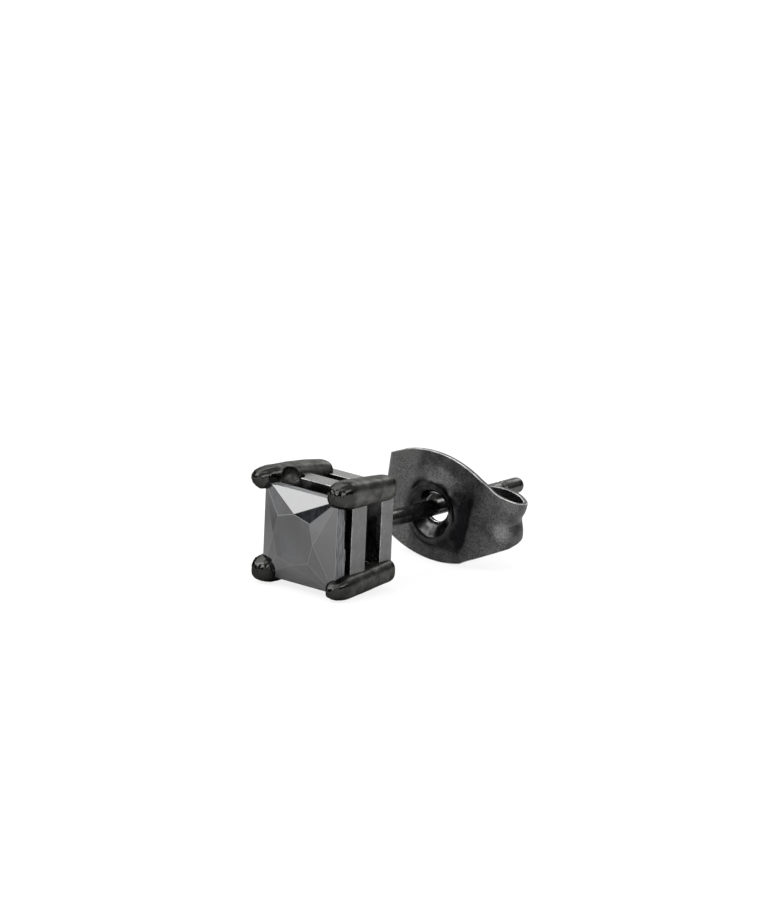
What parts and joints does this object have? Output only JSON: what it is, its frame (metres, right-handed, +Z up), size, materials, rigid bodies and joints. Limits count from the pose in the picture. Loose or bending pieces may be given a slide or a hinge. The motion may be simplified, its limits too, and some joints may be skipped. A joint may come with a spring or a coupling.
{
  "type": "stud earring",
  "caption": "Stud earring: square faceted black stone in a basket setting with corner prongs, a straight post and a butterfly ear nut that slides on it.",
  "frame": {"origin": "bottom centre of the box round the earring as it lies, on its two lower prongs and the edge of its nut", "axes": "+Y runs back along the post, towards its tip, which rises 2 degrees; the stone faces -Y; +Z is up"},
  "size_m": [0.007, 0.015, 0.0051],
  "materials": {
    "black_stone": "polished faceted black stone",
    "plated_setting": "satin black-plated metal, glossy on the prong tips",
    "plated_nut": "fine-blasted black-plated sheet"
  },
  "bodies": {
    "stud": {"prong_setting": "plated_setting", "stone": "black_stone"},
    "clutch": {"ear_nut": "plated_nut"}
  },
  "joints": [
    {"name": "clutch_slide", "type": "slide", "parent": "stud", "child": "clutch", "axis": [0, 0.9994, 0.0353], "range_m": [-0.00465, 0.0061]}
  ]
}
